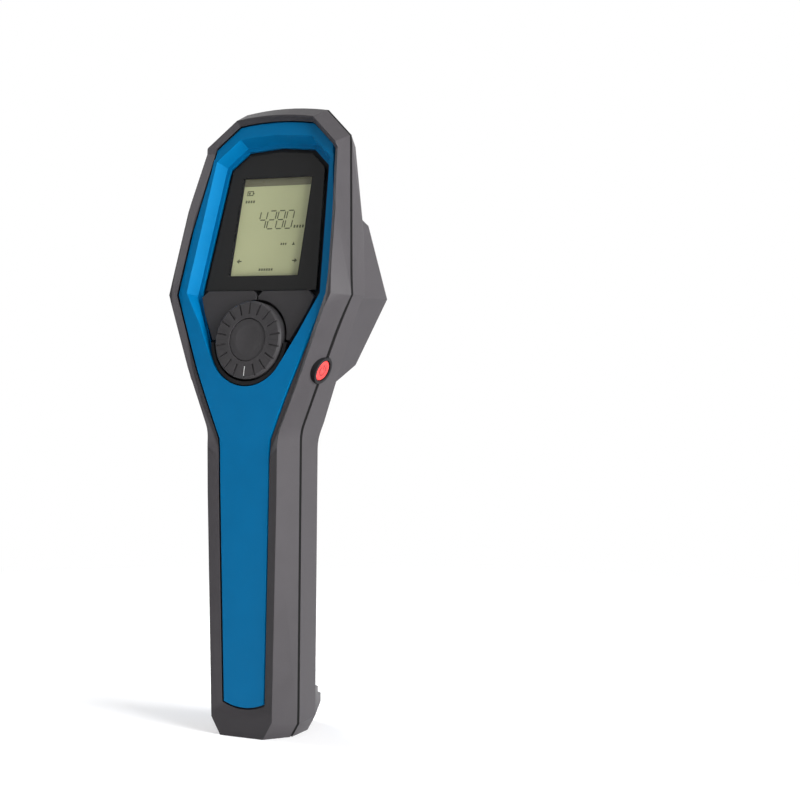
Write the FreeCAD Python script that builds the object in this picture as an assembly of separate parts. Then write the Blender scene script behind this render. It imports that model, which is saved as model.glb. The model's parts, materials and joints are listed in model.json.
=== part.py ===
# Handheld LED stroboscope, one solid per sub-part, millimetres.
# +Z is up the handle, the display faces -Y, the lamp faces +Y and +X is to the right seen from the display.
# The pieces are drawn with the parting plane of the handle at Y = 0 and the base at Z = 0. Each one is
# then moved so that the origin is the mouth of the tripod socket in the middle of the base.
import FreeCAD, Part
import math
import os

Vec = FreeCAD.Vector
X, Y, Z = Vec(1, 0, 0), Vec(0, 1, 0), Vec(0, 0, 1)
FAR = 400.0                               # helper blocks are this large, more than the object

# ---- outline of the case at the parting line: half width and height
foot_half, foot_cut_z = 14.9, 5.0         # flat of the base, height of its corner cut
heel_half = 17.9
neck_half, neck_z = 18.7, 109.0
wide_half, wide_z = 38.9, 157.5
up_half, up_z = 29.0, 215.1
top_half, shoulder_rise = 17.5, 10.0      # the top corner is this far above the upper corner
top_z = up_z + shoulder_rise
crown_rise = 1.2                          # arch of the top edge
neck_radius = 16.0

# ---- faces seen from the side, all bending back by the same angle
lean = 15.0
split_bend_z, split_radius = 154.2, 100.0
face_y, face_bend_z, face_radius = -10.0, 146.1, 190.0
trim_y, trim_bend_z = -8.7, 140.3
rim_y, rim_bend_z, rim_offset = 14.0, 112.0, 9.1
back_y, back_bend_z, back_offset = 26.0, 111.0, 12.0
waist_z = 153.0                           # where the rear faces turn back outwards

# ---- drafts of the side walls in degrees, at the lower and the upper end of each wall
front_draft = {"foot": (26.0, 26.0), "handle": (26.0, 20.3), "neck": (18.9, 29.2), "head": (31.0, 15.5),
               "shoulder": (31.3, 31.3), "top": (36.0, 36.0)}
rear_draft = {"foot": (8.2, 8.2), "handle": (8.2, 8.2), "neck": (2.5, 2.5), "head": (0.4, 21.6),
              "shoulder": (19.0, 19.0), "top": (8.5, 8.5)}
draft_reach = 10.5                        # distance from the parting line where a twisted wall is set out
crease_clear = 18.0                       # a twisted wall's crease stays this far from the wall's end
crown_draft = {"handle": 30.0, "neck": 36.0, "head": 62.0, "shoulder": 62.0, "top": 55.0}
facet_draft = {"handle": 71.0, "neck": 56.0, "head": 48.0, "shoulder": 32.0, "top": 32.0}

# ---- walls, gaps and fits
wall = 2.0
seat_wall = 1.6                           # shell wall that carries a trim
seal_gap, seal_recess, seal_depth = 1.3, 0.4, 1.9
fit = 0.12                                # between fixed pieces that sit in each other
running_fit = 0.06                        # radial, round the dial hub and the cover screw
moving_gap = 0.3                          # round keys and buttons

# ---- front trim; the insets run from each side wall to the trim's outer edge
trim_inset = {"foot": 4.8, "handle": 4.8, "neck": 3.3, "head": 3.3, "shoulder": 3.0, "top": 3.2}
trim_band = {"neck": 3.3, "head": 3.3, "shoulder": 3.6, "top": 4.3}     # flat band outside the slope
trim_gap, trim_t = 0.65, 1.8
well_slope, well_wall = 1.8, 1.5          # run of the sloping inner wall, and its thickness
well_band, well_mouth = 1.45, -9.6        # flat inner band, and the depth where the funnel starts
well_clear = 0.4                          # between the trim's inner wall and the shell's opening
trim_foot_z, trim_end_r = 10.4, 21.0      # lowest point of the trim, radius of its lower end
rim_land, rim_drop, rim_foot_run = 0.3, 0.3, 3.4      # sloping rim of the shell round the trim

# ---- rear trim and battery cover
rear_rim = 2.5
rear_gap = 0.4
rear_pocket = 1.0
crown_step = 2.1                          # upright edge of the trim above the rim
crown_t = 1.8
cover_gap = 0.5

# ---- heel at the back of the base
heel_y, heel_back_half, heel_radius = 32.0, 7.0, 4.0
heel_root, heel_chamfer = 4.0, 1.2
ledge_in_z, ledge_out_z = 16.8, 12.4
slit_y, slit_half, slit_t, slit_deep = 29.4, 4.5, 1.0, 4.0

# ---- lamp
lamp_z, hood_y = 160.0, 39.8
hood_margin, hood_wide_z = 8.5, 156.8     # the hood's corner lies this far inside the case's
hood_wide = wide_half - hood_margin
hood_up, hood_up_z = 22.0, 184.8
hood_low, hood_low_z = 16.9, 132.6
hood_side_draft = 1.0
hood_top_z, hood_top_slope, hood_top_r = 190.3, 27.0, 46.7
hood_bottom_z, hood_bottom_slope, hood_bottom_r = 130.0, 32.0, 66.0
hood_wall = 2.0
lamp_r, dish_r, dish_depth = 24.0, 27.6, 2.6
window_recess, window_t, window_lip = 0.8, 1.5, 1.3
mask_y, mask_t = 31.0, 1.2
led_ring, led_angles = 13.1, (-90.0, 30.0, 150.0)
led_half, led_t, led_dome_r, led_dome_t = 1.7, 0.7, 1.3, 0.7
lens_r, lens_back_r, lens_long = 7.2, 4.2, 9.0
lens_proud, lens_well_r, lens_well_deep, lens_dish_r = 0.2, 1.9, 2.2, 11.0
lens_stand = 1.6                          # the lenses stand this far off the lamp board
lamp_board_t, heat_sink_t, fin_long, fin_t, fin_pitch, fin_side = 1.6, 2.5, 3.0, 1.4, 3.6, 4
lamp_hole_r, lamp_board_gap = 21.5, 1.0
badge_t, badge_top, badge_foot, badge_hood_gap = 0.5, (12.7, 60.5), (18.6, 50.2), 2.2

# ---- display and panel, in the leaning frame of the head (X, depth, up)
window_edge_gap = 1.6
window_thick, window_corner_r = 1.2, 1.5
window_foot = 5.3                         # lower edge of the window
panel_depth, panel_t, panel_flange = 1.3, 1.6, 2.6
lcd_half, lcd_low, lcd_high = 15.0, 10.9, 48.4
lcd_border, lcd_t, lcd_sink = 2.2, 1.7, 0.5
guide_t = 0.9
board_t = 1.2
zebra_high = 1.6
display_board_y, display_board_half, display_board_z = 4.7, 20.0, (5.5, 53.0)

# ---- dial, in its own leaning frame
dial_lean, dial_y, dial_z = 9.0, -7.0, 141.7
dial_r, dial_t, dial_grooves, dial_chamfer = 14.1, 5.0, 18, 0.8
dial_floor = 0.7                          # web of the ring behind the centre button
groove_half, groove_deep, groove_turn = 0.3, 0.45, 10.0
cap_r, cap_dish_r, cap_sink, cap_dish = 7.7, 22.0, 0.4, 0.7
cap_travel, key_travel = 0.8, 0.5
hub_r, stem_r = 4.0, 1.9
dial_front = 1.2                          # upper edge of the cup round the dial
cup_gap, cup_wall, cup_floor = 0.8, 1.3, 1.4
cup_end = dial_t + 0.6 + cup_floor
opening_r = 16.8                          # round foot of the panel opening
key_rise, key_t, key_top, key_edge = 1.3, 2.0, 4.9, 0.7
key_spot, key_stem_r, key_end = (17.6, -1.0), 1.5, 3.6      # key stems in the head frame
wheel_r, wheel_t, wheel_gap = 7.8, 0.5, 0.3
control_y = cup_end + 2.3                 # front face of the control board, dial frame
switch_half, switch_t, switch_tip = 3.0, 0.7, 0.5

# ---- buttons in the side walls
power_z, power_r, collar_r, power_rise = 130.7, 3.8, 5.0, -0.2
power_deep, power_flange, power_flange_t = 4.0, 0.9, 0.8
collar_deep, collar_rise = 2.6, 0.2
power_switch_r, power_switch_long, power_switch_gap = 3.0, 2.8, 1.2
plug_z, plug_r, plug_deep, plug_sink = 127.5, 5.3, 3.4, 0.7

# ---- cells and their tray
cell_r, cell_long, cell_low, cell_tip_r, cell_tip = 7.25, 50.5, 39.0, 2.7, 1.0
cell_x, cell_front_y, cell_rear_y = 7.3, 3.8, 16.4
tray_wall, spring_room, plate_room = 1.5, 6.0, 2.4
tray_low, tray_high = cell_low - spring_room, cell_low + cell_long + plate_room
contact_t, contact_half, contact_deep = 0.4, 5.0, 4.5
bay_half, bay_below, bay_above = 12.2, 6.0, 10.1      # opening of the battery bay round the tray
cover_top_z = tray_high + 13.0
pad_half, pad_end = 3.0, 9.0              # foam pad, this much shorter than the cells at each end
label_half, label_t, label_low, label_end = 5.0, 0.2, 27.0, 3.4

# ---- boards and power parts in the handle
driver_y, driver_half, driver_long, driver_gap = 3.0, 13.0, 24.0, 3.1
capacitor_r, capacitor_long, capacitor_x, capacitor_up = 3.2, 12.0, 6.0, 4.0
choke_r, choke_long, choke_up = 4.5, 5.5, 7.0
board_to_switch = 8.6                     # from the power button's place to the edge of the control board
control_board_z = (-15.0, 14.0)

# ---- screws and the tripod socket
cover_screw_z, cover_head_r, cover_head_t, cover_head_sink = 20.0, 3.5, 1.8, 1.8
cover_recess_r, cover_shank_r, cover_boss_deep = 4.3, 1.5, 2.6
screw_slot_half, screw_slot_deep, screw_slot_turn = 0.6, 0.8, 60.0
screw_insert_r, insert_y0, insert_y1, insert_post_r = 2.6, 4.0, 12.6, 5.2
retainer_r, retainer_t, retainer_gap = 2.2, 0.6, 0.2
case_screw_spots = ((7.2, 160.0), (7.5, 24.5))        # pairs: distance inside the parting line, height
top_screw_drop = 6.7                      # the single screw in the middle, below the top corners
case_head_r, case_head_t, case_shank_r, boss_r = 2.4, 1.6, 1.2, 2.9
case_head_sink, handle_head_sink, case_screw_end = 0.4, 2.0, (-0.8, -4.2)
tripod_y, tripod_minor_r, tripod_insert_r, tripod_long, tripod_post = 11.0, 2.55, 3.8, 9.0, 2.0

os.makedirs("parts", exist_ok=True)


# ================================================================ helpers
def save(name, *shapes):
    piece = fuse(*shapes)
    piece.translate(Vec(0, -tripod_y, 0))
    solids = piece.Solids
    out = solids[0] if len(solids) == 1 else Part.makeCompound(solids)
    out.exportStep("parts/" + name + ".step")
    note = "" if piece.isValid() else "  INVALID"
    print("%-22s solids %2d  volume %9.1f%s" % (name, len(solids), sum(s.Volume for s in solids), note))


def box(x0, x1, y0, y1, z0, z1):
    return Part.makeBox(x1 - x0, y1 - y0, z1 - z0, Vec(x0, y0, z0))


def rod(radius, start, end):
    return Part.makeCylinder(radius, (end - start).Length, start, end - start)


def tube(outer, inner, start, end):
    return rod(outer, start, end).cut(rod(inner, start, end))


def mirrored(shape):
    return shape.mirror(Vec(0, 0, 0), X)


def both(shape):
    return [shape, mirrored(shape)]


def fuse(*shapes):
    flat = []
    for shape in shapes:
        flat += shape if isinstance(shape, list) else [shape]
    out = flat[0].copy()
    if len(flat) > 1:
        out = flat[0].fuse(flat[1:]).removeSplitter()
    return out


def outside(point, normal):
    """Block on the outer side of a plane."""
    block = Part.makeBox(2 * FAR, 2 * FAR, FAR, Vec(-FAR, -FAR, 0))
    block.Placement = FreeCAD.Placement(point, FreeCAD.Rotation(Z, normal))
    return block


def prism(points, direction):
    """Solid over a polygon of points."""
    face = Part.Face(Part.makePolygon(list(points) + [points[0]]))
    return face.extrude(direction)


def sine(angle):
    return math.sin(math.radians(angle))


def cosine(angle):
    return math.cos(math.radians(angle))


def tangent(angle):
    return math.tan(math.radians(angle))


def meet(*planes):
    """Point common to three planes, each a point and a normal."""
    (p, a), (q, b), (r, c) = planes
    whole = a.dot(b.cross(c))
    return (b.cross(c) * p.dot(a) + c.cross(a) * q.dot(b) + a.cross(b) * r.dot(c)) * (1.0 / whole)


def framed(angle, point):
    """Placement of a frame that leans back by an angle, with its origin at a point."""
    return FreeCAD.Placement(point, FreeCAD.Rotation(X, -angle))


head_frame = framed(lean, Vec(0, 0, split_bend_z))
dial_frame = framed(dial_lean, Vec(0, dial_y, dial_z))
BACK = head_frame.Rotation.multVec(Y)     # to the rear, square to the leaning head
face_depth = Vec(0, face_y, face_bend_z - split_bend_z).dot(BACK)         # depths in the head frame
trim_depth = Vec(0, trim_y, trim_bend_z - split_bend_z).dot(BACK)
well_rate = well_slope / -trim_depth


def placed(frame, shape):
    out = shape.copy()
    out.Placement = frame.multiply(out.Placement)
    return out


def in_head(shape):
    return placed(head_frame, shape)


def in_dial(shape):
    return placed(dial_frame, shape)


# ================================================================ side profiles
def bent(y, bend_z, radius, shift=0.0):
    """Edges of a face that stands upright and then leans back, moved to the rear by shift."""
    y, bend_z, radius = y + shift, bend_z - shift * tangent(lean / 2), radius - shift
    run = radius * tangent(lean / 2)
    low = Vec(0, y, -FAR / 8)
    start = Vec(0, y, bend_z - run)
    middle = Vec(0, y + radius * (1 - cosine(lean / 2)), start.z + radius * sine(lean / 2))
    end = Vec(0, y + radius * (1 - cosine(lean)), start.z + radius * sine(lean))
    high = end + Vec(0, sine(lean), cosine(lean)) * (FAR / 2)
    return [Part.LineSegment(low, start), Part.Arc(start, middle, end), Part.LineSegment(end, high)]


def hollowed(y, bend_z, offset, shift=0.0):
    """Edges of a rear face: upright, sloping in to the waist, then leaning back with the head."""
    slope_in = math.atan2(y - waist_y(offset), waist_z - bend_z)
    low = Vec(0, y + shift, -FAR / 8)
    first = Vec(0, y + shift, bend_z + shift * math.tan(slope_in / 2))
    turn = (slope_in + math.radians(lean)) / 2
    middle_dir = math.radians(lean) - turn
    reach = shift / math.cos(turn)
    second = Vec(0, waist_y(offset) + reach * math.cos(middle_dir), waist_z - reach * math.sin(middle_dir))
    high = second + Vec(0, sine(lean), cosine(lean)) * (FAR / 2)
    return [Part.LineSegment(low, first), Part.LineSegment(first, second), Part.LineSegment(second, high)]


def waist_y(offset):
    return (waist_z - split_bend_z) * tangent(lean) + offset / cosine(lean)


def split(shift=0.0):
    return bent(0.0, split_bend_z, split_radius, shift)


def face(shift=0.0):
    return bent(face_y, face_bend_z, face_radius, shift)


def trim_face(shift=0.0):
    return bent(trim_y, trim_bend_z, face_radius, shift)


def rim(shift=0.0):
    return hollowed(rim_y, rim_bend_z, rim_offset, shift)


def back(shift=0.0):
    return hollowed(back_y, back_bend_z, back_offset, shift)


def between(front, rear):
    """Slab between two side profiles, the full width of the object and more."""
    edges = [e.toShape() for e in front] + [e.toShape() for e in rear]
    for pick in (0, -1):
        a = front[pick].StartPoint if pick == 0 else front[pick].EndPoint
        b = rear[pick].StartPoint if pick == 0 else rear[pick].EndPoint
        edges.append(Part.makeLine(a, b))
    wire = Part.Wire(Part.__sortEdges__(edges))
    slab = Part.Face(wire).extrude(X * FAR)
    slab.translate(X * (-FAR / 2))
    return slab


def behind(front):
    """Everything to the rear of a side profile."""
    ends = [front[0].StartPoint, front[-1].EndPoint]
    far = [Vec(0, FAR / 2, p.z) for p in ends]
    edges = [e.toShape() for e in front]
    edges += [Part.makeLine(ends[0], far[0]), Part.makeLine(far[0], far[1]), Part.makeLine(far[1], ends[1])]
    slab = Part.Face(Part.Wire(Part.__sortEdges__(edges))).extrude(X * FAR)
    slab.translate(X * (-FAR / 2))
    return slab


# ================================================================ side walls
def on_head(half, z):
    return Vec(half, (z - split_bend_z) * tangent(lean), z)


corners = {
    "base": Vec(foot_half, 0, 0), "heel": Vec(heel_half, 0, foot_cut_z), "neck": Vec(neck_half, 0, neck_z),
    "wide": on_head(wide_half, wide_z), "up": on_head(up_half, up_z), "top": on_head(top_half, top_z)}
segments = {"foot": ("base", "heel"), "handle": ("heel", "neck"), "neck": ("neck", "wide"),
            "head": ("wide", "up"), "shoulder": ("up", "top")}
LEANING = ("head", "shoulder", "top")


def wall_axes(a, b, outward):
    """Directions along the line a to b, square to the parting line, and out to the right."""
    along = (b - a).normalize()
    square = (outward - along * outward.dot(along)).normalize()
    side = along.cross(square).normalize()
    if side.x < -1e-9 or (abs(side.x) < 1e-9 and side.z < 0):
        side = side * -1.0
    return along, square, side


def drafted(a, b, outward, draft):
    """Plane through the line a to b that moves inwards by the draft along the outward direction."""
    along, square, side = wall_axes(a, b, outward)
    return a, side * cosine(draft) + square * sine(draft)


def through(p, q, r, side):
    """Plane through three points, facing a side."""
    normal = (q - p).cross(r - p).normalize()
    return p, normal if normal.dot(side) > 0 else normal * -1.0


def outward_of(name, sign):
    return (BACK if name in LEANING else Y) * sign


def wall_ends(name):
    if name == "top":
        return Vec(-top_half, corners["top"].y, top_z), corners["top"]
    return [corners[key] for key in segments[name]]


def wall_planes(name, sign, inset=0.0):
    """Right-hand wall on the front (sign -1) or the rear (sign 1): two planes if its draft changes."""
    low, high = (front_draft if sign < 0 else rear_draft)[name]
    a, b = wall_ends(name)
    outward = outward_of(name, sign)
    planes = [drafted(a, b, outward, min(low, high))]
    if low != high:
        along, square, side = wall_axes(a, b, outward)
        steep_end, other_end, towards = (a, b, -1) if low > high else (b, a, 1)
        reach = square * draft_reach
        near = steep_end + reach - side * (draft_reach * tangent(max(low, high)))
        hinge = other_end + reach - side * (draft_reach * tangent(min(low, high)))
        hinge += along * towards * crease_clear
        planes.append(through(steep_end, near, hinge, side))
    return [(point - normal * inset, normal) for point, normal in planes]


def outer_plane(name, sign, inset=0.0):
    """The plane that holds most of the wall's far edge."""
    return wall_planes(name, sign, inset)[-1]


def arch(normal, point, half, rise, inset):
    """Long cylinder whose surface arches over a top edge."""
    radius = (half * half + rise * rise) / (2 * rise)
    centre = Vec(0, point.y, point.z) + normal * (rise - radius)
    along = X.cross(normal).normalize()
    return rod(radius - inset, centre - along * (FAR / 2), centre + along * (FAR / 2))


def case_block(sign, inset=0.0):
    """Handle and head between their side walls, before the faces are cut. The inset may differ by wall."""
    insets = inset if isinstance(inset, dict) else {name: inset for name in front_draft}
    y0, y1 = (face_y - 1, FAR / 8) if sign < 0 else (-FAR / 8, FAR / 4)

    def walled(block, *names):
        for name in names:
            for plane in wall_planes(name, sign, insets[name]):
                block = block.cut(both(outside(*plane)))
        return block

    handle = walled(box(-FAR / 4, FAR / 4, y0, y1, insets["foot"], neck_z + neck_radius), "foot", "handle")
    head = walled(box(-FAR / 4, FAR / 4, y0, y1, neck_z / 2, top_z + FAR / 8), "neck", "head", "shoulder")
    point, normal = wall_planes("top", sign)[0]
    head = head.common(arch(normal, point, top_half, crown_rise, insets["top"]))
    block = handle.fuse(head).removeSplitter()
    planes = [wall_planes(name, sign, insets[name])[0] for name in ("handle", "neck")]
    return round_neck(block, planes, neck_radius + insets["neck"])


def round_neck(block, planes, radius):
    """Fillet the two hollow edges where the handle meets the head."""
    def on_both(edge):
        for vertex in edge.Vertexes:
            p = Vec(abs(vertex.Point.x), vertex.Point.y, vertex.Point.z)
            if any(abs((p - q).dot(n)) > 1e-4 for q, n in planes):
                return False
        return True

    return block.makeFillet(radius, [edge for edge in block.Edges if on_both(edge)])


# ================================================================ sloping edges inside the walls
def edge_line(name, sign, margin, upright, leaning):
    """Ends of the line where one wall, moved in by a margin, meets an upright or a leaning level."""
    def side(other):
        return outer_plane(other, sign, margin)

    spots = {
        "base": meet(side("handle"), upright, (Vec(0, 0, 0), Z)),
        "neck": meet(side("handle"), side("neck"), upright),
        "wide": meet(side("neck"), side("head"), leaning),
        "up": meet(side("head"), side("shoulder"), leaning),
        "top": meet(side("shoulder"), side("top"), leaning)}
    if name == "top":
        return Vec(-spots["top"].x, spots["top"].y, spots["top"].z), spots["top"]
    first, last = segments[name]
    return spots["base" if first == "heel" else first], spots[last]


def sloping_block(plane_of, y0, y1, inset):
    """Handle and head between sloping planes, with a rounded neck and an arched top."""
    handle = box(-FAR / 4, FAR / 4, y0, y1, 0, neck_z + neck_radius)
    handle = handle.cut(both(outside(*plane_of("handle", inset))))
    head = box(-FAR / 4, FAR / 4, min(y0, -FAR / 40), FAR / 4, neck_z / 2, top_z + FAR / 8)
    for name in ("neck", "head", "shoulder"):
        head = head.cut(both(outside(*plane_of(name, inset))))
    point, normal = plane_of("top", 0.0)
    head = head.common(arch(normal, point, top_half, crown_rise, inset))
    block = handle.fuse(head).removeSplitter()
    return round_neck(block, [plane_of("handle", inset), plane_of("neck", inset)], neck_radius + inset)


def crown_plane(name, inset):
    """Sloping edge plane of the rear trim."""
    a, b = edge_line(name, 1, rear_rim + rear_gap, (Vec(0, rim_y + crown_step, 0), Y),
                     (head_frame.multVec(Vec(0, rim_offset + crown_step, 0)), BACK))
    point, normal = drafted(a, b, outward_of(name, 1), crown_draft[name])
    return point - normal * inset, normal


def crown_block(inset=0.0):
    """Rear trim and battery cover in one, between their sloping edges."""
    block = sloping_block(crown_plane, 0, FAR / 4, inset)
    return block.common(case_block(1, rear_rim + rear_gap + inset))


def facet_plane(name, inset):
    """Plane of the front rim, which slopes in from the outer edge down to the trim."""
    a, b = edge_line(name, -1, rim_land, (Vec(0, face_y, 0), Y),
                     (head_frame.multVec(Vec(0, face_depth, 0)), BACK))
    point, normal = drafted(a, b, outward_of(name, 1), facet_draft[name])
    return point - normal * inset, normal


def foot_arch(gap, run=0.0):
    """Space above the rounded lower end of the trim, widened by a gap and, towards the front, by a run."""
    level = trim_foot_z + trim_end_r
    y0, y1 = face_y - 1, trim_y + trim_back + 1
    rate = run / (trim_y - face_y)
    start, end = (trim_end_r + gap + rate * (trim_y - y) for y in (y0, y1))
    low = rod(start, Vec(0, y0, level), Vec(0, y1, level)) if run == 0 else Part.makeCone(
        start, end, y1 - y0, Vec(0, y0, level), Y)
    return low.fuse(box(-FAR / 4, FAR / 4, y0, y1, level, FAR))


def rim_funnel():
    """What the sloping rim leaves open in front of the trim's level."""
    upright = sloping_block(facet_plane, face_y - 1, trim_y + 1, 0.0)
    lower = upright.common(foot_arch(trim_gap, rim_foot_run))
    upper = upright.common(box(-FAR, FAR, -FAR, FAR, neck_z, FAR))
    return lower.fuse(upper).cut(behind(trim_face(rim_drop)))


# ================================================================ lamp hood
def hood_planes(inset=0.0):
    wide = Vec(hood_wide, hood_y, hood_wide_z)
    planes = []
    for half, z in ((hood_up, hood_up_z), (hood_low, hood_low_z)):
        point, normal = drafted(wide, Vec(half, hood_y, z), Y, hood_side_draft)
        planes.append(outside(point - normal * inset, normal))
    return planes


def hood_block(inset=0.0):
    """Six-sided lamp hood, arched at its top and bottom."""
    block = box(-FAR / 8, FAR / 8, -FAR / 40, hood_y, lamp_z - FAR / 6, lamp_z + FAR / 6)
    for plane in hood_planes(inset):
        block = block.cut(both(plane))
    for z, slope, radius, sign in ((hood_top_z, hood_top_slope, hood_top_r, 1),
                                   (hood_bottom_z, hood_bottom_slope, hood_bottom_r, -1)):
        normal = Vec(0, sine(slope), sign * cosine(slope))
        along = Vec(0, cosine(slope), -sign * sine(slope))
        centre = Vec(0, hood_y, z) - normal * radius
        block = block.common(rod(radius - inset, centre - along * FAR, centre + along * FAR))
    return block


# ================================================================ panel opening in the head frame
def plan_line(name, inset):
    """Inner edge of the trim's flat band in head coordinates, as x*a + up*b = c, moved in by an inset."""
    point, normal = outer_plane(name, -1, trim_inset[name])
    place = head_frame.inverse()
    p, n = place.multVec(point), place.Rotation.multVec(normal)
    run = math.hypot(n.x, n.z)
    return n.x, n.z, n.dot(p) - n.y * trim_depth - (trim_band[name] + inset) * run


def crossing(one, two):
    (a, b, c), (d, e, f) = one, two
    whole = a * e - b * d
    return (c * e - b * f) / whole, (a * f - c * d) / whole


def dial_at(depth):
    """Height of the dial axis in the head frame, at a depth behind the panel plane."""
    place = head_frame.inverse().multiply(dial_frame)
    start, along = place.multVec(Vec(0, 0, 0)), place.Rotation.multVec(Y)
    return start.z + along.z * (depth - start.y) / along.y


def opening_ring(inset, radius, depth):
    """Corners of the panel opening, from its round foot on the right over the top to the left."""
    xw, uw = crossing(plan_line("neck", inset), plan_line("head", inset))
    xu, uu = crossing(plan_line("head", inset), plan_line("shoulder", inset))
    xt, ut = crossing(plan_line("shoulder", inset), plan_line("top", inset))
    uc = dial_at(depth)
    reach = math.hypot(xw, uw - uc)
    turn = math.atan2(uw - uc, xw) - math.acos(radius / reach)
    xf, uf = radius * math.cos(turn), uc + radius * math.sin(turn)
    right = [Vec(xf, depth, uf), Vec(xw, depth, uw), Vec(xu, depth, uu), Vec(xt, depth, ut)]
    return right + [Vec(0, depth, ut + crown_rise)] + [Vec(-p.x, depth, p.z) for p in reversed(right)]


def opening_wire(inset, radius, depth):
    """Outline of the panel opening: straight sides over a round foot."""
    ring = opening_ring(inset, radius, depth)
    edges = [Part.makeLine(a, b) for a, b in zip(ring, ring[1:])]
    low = Vec(0, depth, dial_at(depth) - radius)
    return Part.Wire(edges + [Part.Arc(ring[-1], low, ring[0]).toShape()])


def opening_prism(inset, radius, d0, d1):
    return in_head(Part.Face(opening_wire(inset, radius, d0)).extrude(Y * (d1 - d0)))


def opening_taper(shift, radius):
    """Funnel through the trim: its walls slope in until they reach the window level."""
    far, near = (opening_ring(well_slope - shift + well_rate * d, radius, d) for d in (well_mouth, 0.0))
    faces = [far, near]
    for i in range(len(far)):
        j = (i + 1) % len(far)
        faces += [[far[i], far[j], near[i]], [far[j], near[j], near[i]]]
    shell = Part.Shell([Part.Face(Part.makePolygon(f + [f[0]])) for f in faces])
    funnel = Part.Solid(shell)
    if funnel.Volume < 0:
        funnel.reverse()
    bore = rod(radius, Vec(0, well_mouth, dial_at(0.0)), Vec(0, 0, dial_at(0.0)))
    return in_head(funnel.removeSplitter().fuse(bore).removeSplitter())


panel_inset = well_slope + well_band      # edge of the blue inner band, from the edge of the outer one


def dial_rod(radius, start, end):
    return in_dial(rod(radius, Vec(0, start, 0), Vec(0, end, 0)))


# ================================================================ screws that hold the shells
def edge_half(z):
    """Half width of the case at the parting line, at a height."""
    for a, b in (wall_ends(name) for name in ("handle", "neck", "head", "shoulder")):
        if a.z <= z <= b.z:
            return a.x + (b.x - a.x) * (z - a.z) / (b.z - a.z)


def screw_spots():
    for inset, z in case_screw_spots:
        for side in (1, -1):
            yield side * (edge_half(z) - inset), z
    yield 0.0, top_z - top_screw_drop


def screw_point(x, z, depth):
    """Point on a case screw's axis; the screws are square to the handle or to the head."""
    if z > neck_z:
        return head_frame.multVec(Vec(x, depth[0], (z - split_bend_z) / cosine(lean)))
    return Vec(x, depth[1], z)


def screw_rods(radius, start, end):
    """A rod on each case screw; start and end give the depth for the head and for the handle."""
    return [rod(radius, screw_point(x, z, start), screw_point(x, z, end)) for x, z in screw_spots()]


seat_head = rim_offset - rear_pocket                      # seat of the rear trim, in the head
seat_handle = rim_y - rear_pocket
trim_back = trim_t + fit                                  # seat of the front trim behind its face
screw_seats = (seat_head - case_head_t - case_head_sink, seat_handle - handle_head_sink)
NEAR, DEEP = (-FAR / 40,) * 2, (FAR / 20,) * 2            # in front of a shell and behind it


def side_point(z):
    """Point on the ridge of the lower head wall."""
    return Vec(edge_half(z), 0, z)


rise_along = Vec(wide_half - neck_half, 0, wide_z - neck_z).normalize()
power_axis = Vec(rise_along.z, 0, -rise_along.x)
power_spot = side_point(power_z)
plug_spot = side_point(plug_z)


def power_rod(radius, start, end):
    return rod(radius, power_spot + power_axis * start, power_spot + power_axis * end)


def plug_rod(radius, start, end):
    return mirrored(rod(radius, plug_spot + power_axis * start, plug_spot + power_axis * end))


side_holes = [power_rod(collar_r + fit, -wall * 3, wall * 3), plug_rod(plug_r + fit, -wall * 3, wall * 3)]


# ================================================================ case
def trim_block(extra=0.0):
    return case_block(-1, {name: inset + extra for name, inset in trim_inset.items()})


def front_shell():
    case = case_block(-1).common(between(face(), split(-seal_gap / 2)))
    recess = trim_block(-trim_gap).cut(behind(trim_face(trim_back)))
    recess = recess.common(foot_arch(trim_gap).fuse(box(-FAR, FAR, -FAR, FAR, neck_z, FAR)))
    hollow = case_block(-1, wall).common(between(trim_face(trim_back + seat_wall), split()))
    hollow = hollow.cut(screw_rods(boss_r, NEAR, (0, -seal_gap / 2)))
    opening_inset = well_rate * trim_back - well_wall - well_clear
    deep = window_thick + trim_back * 6
    case = case.cut([rim_funnel(), recess, hollow])
    case = case.cut(opening_prism(opening_inset, opening_r + cup_wall, trim_depth * 2, deep))
    tips = tuple(end - fit * 2 for end in case_screw_end)
    case = case.cut(screw_rods(case_shank_r + fit / 2, tips, DEEP))
    return case.cut(side_holes)


def heel():
    """Block behind the base; its sides slant in from the edge of the rear rim."""
    level = (Vec(0, rim_y, 0), Y)
    side, foot = outer_plane("handle", 1), outer_plane("foot", 1)
    low, high = (meet(side, level, (Vec(0, 0, z), Z)) for z in (0.0, neck_z))
    slant = math.degrees(math.atan2(low.x - heel_back_half, heel_y - rim_y))
    block = box(-FAR / 8, FAR / 8, rim_y - heel_root, heel_y, 0, ledge_in_z + heel_root)
    block = block.cut(both(outside(*drafted(low, high, Y, slant))))
    edges = [e for e in block.Edges if abs(e.CenterOfMass.y - heel_y) < 0.01 and e.CenterOfMass.z > 1
             and abs(e.CenterOfMass.x) > 1]
    block = block.makeFillet(heel_radius, edges)
    low, high = (meet(foot, level, (Vec(0, 0, z), Z)) for z in (0.0, foot_cut_z))
    block = block.cut(both(outside(*drafted(low, high, Y, slant))))
    block = block.cut(ledge_side(0.0))
    edge = Vec(0, heel_y, heel_chamfer)
    block = block.cut(outside(edge, Vec(0, 1, -1).normalize()))
    return block.common(case_block(1).fuse(box(-FAR, FAR, rim_y, FAR, 0, FAR)))


def ledge_side(rise):
    """Space above the sloping ledge of the heel, raised by a gap."""
    a, b = Vec(0, rim_y, ledge_in_z + rise), Vec(0, heel_y, ledge_out_z + rise)
    normal = X.cross(b - a).normalize()
    return outside(a, normal if normal.z > 0 else normal * -1.0)


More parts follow.
